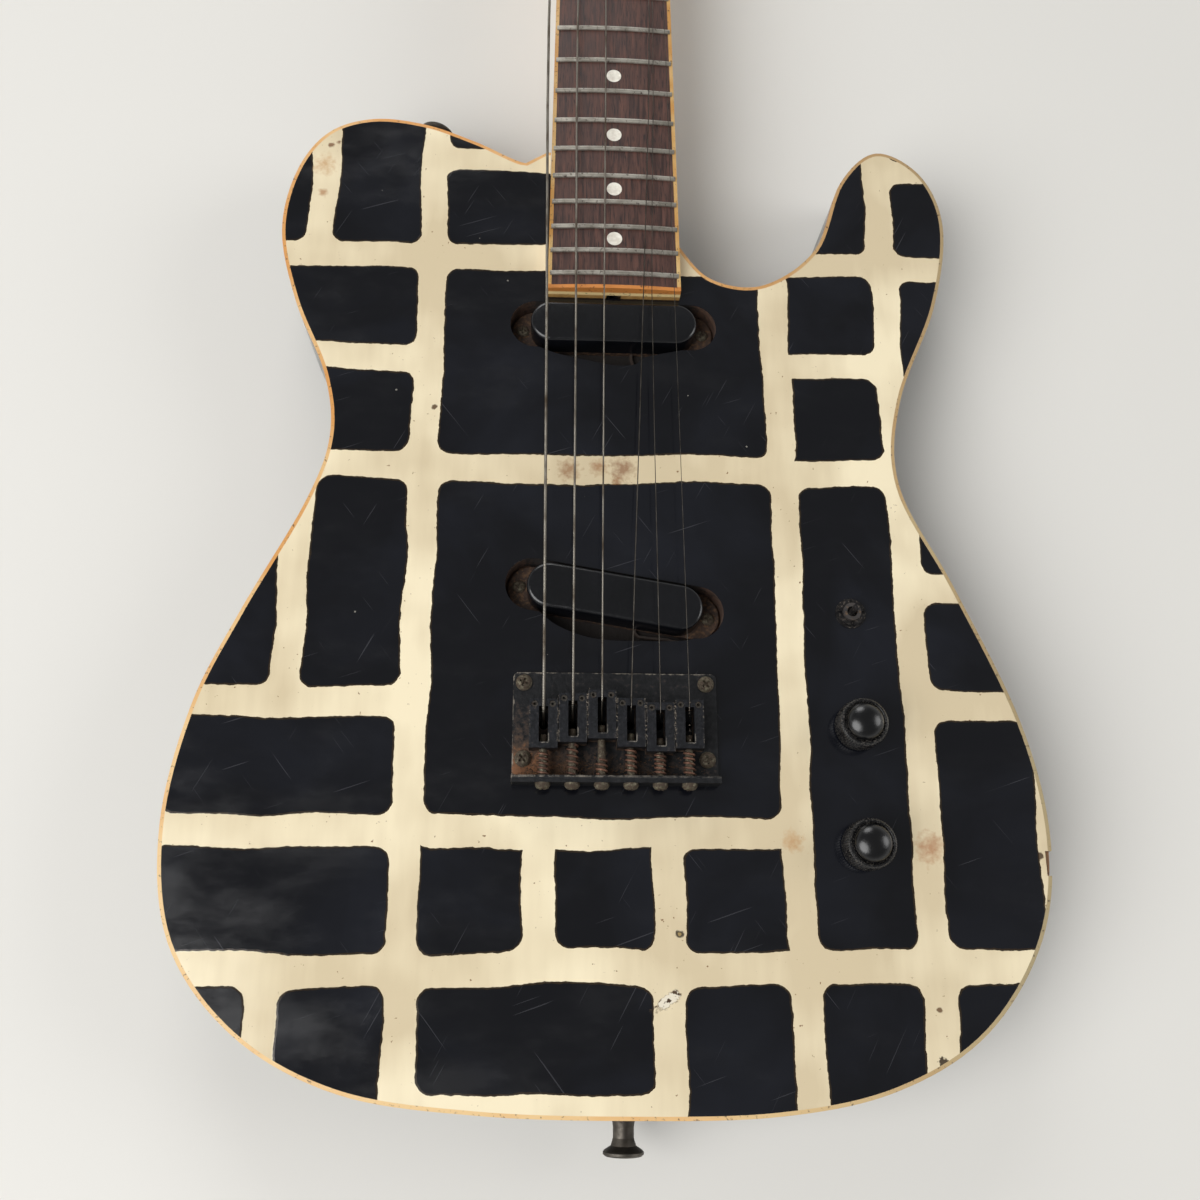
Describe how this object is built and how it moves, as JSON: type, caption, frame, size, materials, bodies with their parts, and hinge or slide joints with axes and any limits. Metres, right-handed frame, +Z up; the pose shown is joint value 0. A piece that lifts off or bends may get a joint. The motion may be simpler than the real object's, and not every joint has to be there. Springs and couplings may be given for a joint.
{
  "type": "broken electric guitar",
  "caption": "Damaged solid-body electric guitar with bolt-on neck, two pickups, fixed bridge with block saddles, rusted hardware and slack strings.",
  "frame": {"origin": "on the flat back of the body, on the centre line, under the saddle line of the bridge", "axes": "+X towards the treble side, +Y along the neck towards the headstock, +Z up from the back to the face"},
  "size_m": [0.3289, 0.9914, 0.0598],
  "materials": {
    "body_lacquer": "gloss black lacquer on wood with cream painted bands, stained and chipped",
    "body_binding": "yellowed gloss plastic",
    "neck_wood": "satin finish, worn",
    "fretboard_wood": "open grain, oiled",
    "board_binding": "ambered plastic, dirty edges",
    "fret_wire": "tarnished",
    "inlay": "pearly",
    "nut": "yellowed",
    "plain_steel": "plain",
    "dull_nickel": "dull, spotted",
    "black_plate": "black plating, worn at the edges, rust",
    "rusty_screw": "rusted",
    "spring_wire": "rusted",
    "pickup_cover": "gloss, scratched and dusty",
    "pickup_base": "dirty",
    "bobbin": "moulded",
    "coil_wire": "enamelled copper wire",
    "magnet": "plain",
    "switch_case": "moulded",
    "black_nut": "black plating, worn",
    "knob": "gloss top, dusty knurled side",
    "shaft": "plain",
    "pot_case": "plain",
    "cover_plastic": "satin",
    "jack_plate": "black plating",
    "tuner_case": "black plating",
    "lead": "insulated wire",
    "wound_string": "wound, rusted",
    "plain_string": "plain, tarnished"
  },
  "bodies": {
    "guitar": {"body": "body_lacquer", "front_binding": "body_binding", "neck": "neck_wood", "fretboard": "fretboard_wood", "fretboard_binding": "board_binding", "frets": "fret_wire", "dot_inlays": "inlay", "nut": "nut", "truss_rod": "plain_steel", "string_tree": "dull_nickel", "neck_plate": "black_plate", "neck_screws": "rusty_screw", "string_ferrules": "dull_nickel", "bridge_plate": "black_plate", "bridge_screws": "rusty_screw", "saddles": "black_plate", "saddle_height_screws": "rusty_screw", "intonation_screws": "rusty_screw", "saddle_springs": "spring_wire", "neck_pickup_cover": "pickup_cover", "bridge_pickup_cover": "pickup_cover", "pickup_bases": "pickup_base", "pickup_bobbins": "bobbin", "pickup_coils": "coil_wire", "pickup_magnets": "magnet", "selector_switch": "switch_case", "control_nuts": "black_nut", "control_pots": "pot_case", "control_cover": "cover_plastic", "small_screws": "rusty_screw", "jack_plate": "jack_plate", "output_jack": "dull_nickel", "strap_buttons": "dull_nickel", "strap_button_screws": "dull_nickel", "tuner_housings": "tuner_case", "tuner_bushings": "dull_nickel", "wiring": "lead", "string_1": "wound_string", "string_2": "wound_string", "string_3": "wound_string", "string_4": "plain_string", "string_5": "plain_string", "string_6": "plain_string"},
    "key_1": {"tuner_key_1": "tuner_case"},
    "post_1": {"tuner_post_1": "dull_nickel"},
    "key_2": {"tuner_key_2": "tuner_case"},
    "post_2": {"tuner_post_2": "dull_nickel"},
    "key_3": {"tuner_key_3": "tuner_case"},
    "post_3": {"tuner_post_3": "dull_nickel"},
    "key_4": {"tuner_key_4": "tuner_case"},
    "post_4": {"tuner_post_4": "dull_nickel"},
    "key_5": {"tuner_key_5": "tuner_case"},
    "post_5": {"tuner_post_5": "dull_nickel"},
    "key_6": {"tuner_key_6": "tuner_case"},
    "post_6": {"tuner_post_6": "dull_nickel"},
    "volume_control": {"volume_knob": "knob", "volume_shaft": "shaft"},
    "tone_control": {"tone_knob": "knob", "tone_shaft": "shaft"},
    "selector": {"selector_lever": "black_nut"}
  },
  "joints": [
    {"name": "key_1_turn", "type": "hinge", "parent": "guitar", "child": "key_1", "pos_m": [-0.01854, 0.6935, 0.0228], "axis": [0.9616, -0.2745, 0], "continuous": true},
    {"name": "post_1_turn", "type": "hinge", "parent": "guitar", "child": "post_1", "pos_m": [-0.02068, 0.686, 0.042], "axis": [0, 0, 1], "continuous": true},
    {"name": "key_2_turn", "type": "hinge", "parent": "guitar", "child": "key_2", "pos_m": [-0.01141, 0.71802, 0.0228], "axis": [0.9616, -0.2745, 0], "continuous": true},
    {"name": "post_2_turn", "type": "hinge", "parent": "guitar", "child": "post_2", "pos_m": [-0.01355, 0.71052, 0.042], "axis": [0, 0, 1], "continuous": true},
    {"name": "key_3_turn", "type": "hinge", "parent": "guitar", "child": "key_3", "pos_m": [-0.00429, 0.74254, 0.0228], "axis": [0.9616, -0.2745, 0], "continuous": true},
    {"name": "post_3_turn", "type": "hinge", "parent": "guitar", "child": "post_3", "pos_m": [-0.00643, 0.73504, 0.042], "axis": [0, 0, 1], "continuous": true},
    {"name": "key_4_turn", "type": "hinge", "parent": "guitar", "child": "key_4", "pos_m": [0.00283, 0.76706, 0.0228], "axis": [0.9616, -0.2745, 0], "continuous": true},
    {"name": "post_4_turn", "type": "hinge", "parent": "guitar", "child": "post_4", "pos_m": [0.00068, 0.75956, 0.042], "axis": [0, 0, 1], "continuous": true},
    {"name": "key_5_turn", "type": "hinge", "parent": "guitar", "child": "key_5", "pos_m": [0.00988, 0.79158, 0.0228], "axis": [0.9616, -0.2745, 0], "continuous": true},
    {"name": "post_5_turn", "type": "hinge", "parent": "guitar", "child": "post_5", "pos_m": [0.00773, 0.78408, 0.042], "axis": [0, 0, 1], "continuous": true},
    {"name": "key_6_turn", "type": "hinge", "parent": "guitar", "child": "key_6", "pos_m": [0.01692, 0.8161, 0.0228], "axis": [0.9616, -0.2745, 0], "continuous": true},
    {"name": "post_6_turn", "type": "hinge", "parent": "guitar", "child": "post_6", "pos_m": [0.01477, 0.8086, 0.042], "axis": [0, 0, 1], "continuous": true},
    {"name": "volume_turn", "type": "hinge", "parent": "guitar", "child": "volume_control", "pos_m": [0.0925, -0.007, 0.05], "axis": [0, 0, 1], "range_deg": [-150, 150]},
    {"name": "tone_turn", "type": "hinge", "parent": "guitar", "child": "tone_control", "pos_m": [0.0925, -0.0515, 0.05], "axis": [0, 0, 1], "range_deg": [-150, 150]},
    {"name": "selector_tilt", "type": "hinge", "parent": "guitar", "child": "selector", "pos_m": [0.0925, 0.038, 0.0446], "axis": [1, 0, 0], "range_deg": [-11, 11]}
  ],
  "couplings": [
    {"joint": "post_1_turn", "follows": "key_1_turn", "ratio": 0.066667},
    {"joint": "post_2_turn", "follows": "key_2_turn", "ratio": 0.066667},
    {"joint": "post_3_turn", "follows": "key_3_turn", "ratio": 0.066667},
    {"joint": "post_4_turn", "follows": "key_4_turn", "ratio": 0.066667},
    {"joint": "post_5_turn", "follows": "key_5_turn", "ratio": 0.066667},
    {"joint": "post_6_turn", "follows": "key_6_turn", "ratio": 0.066667}
  ]
}
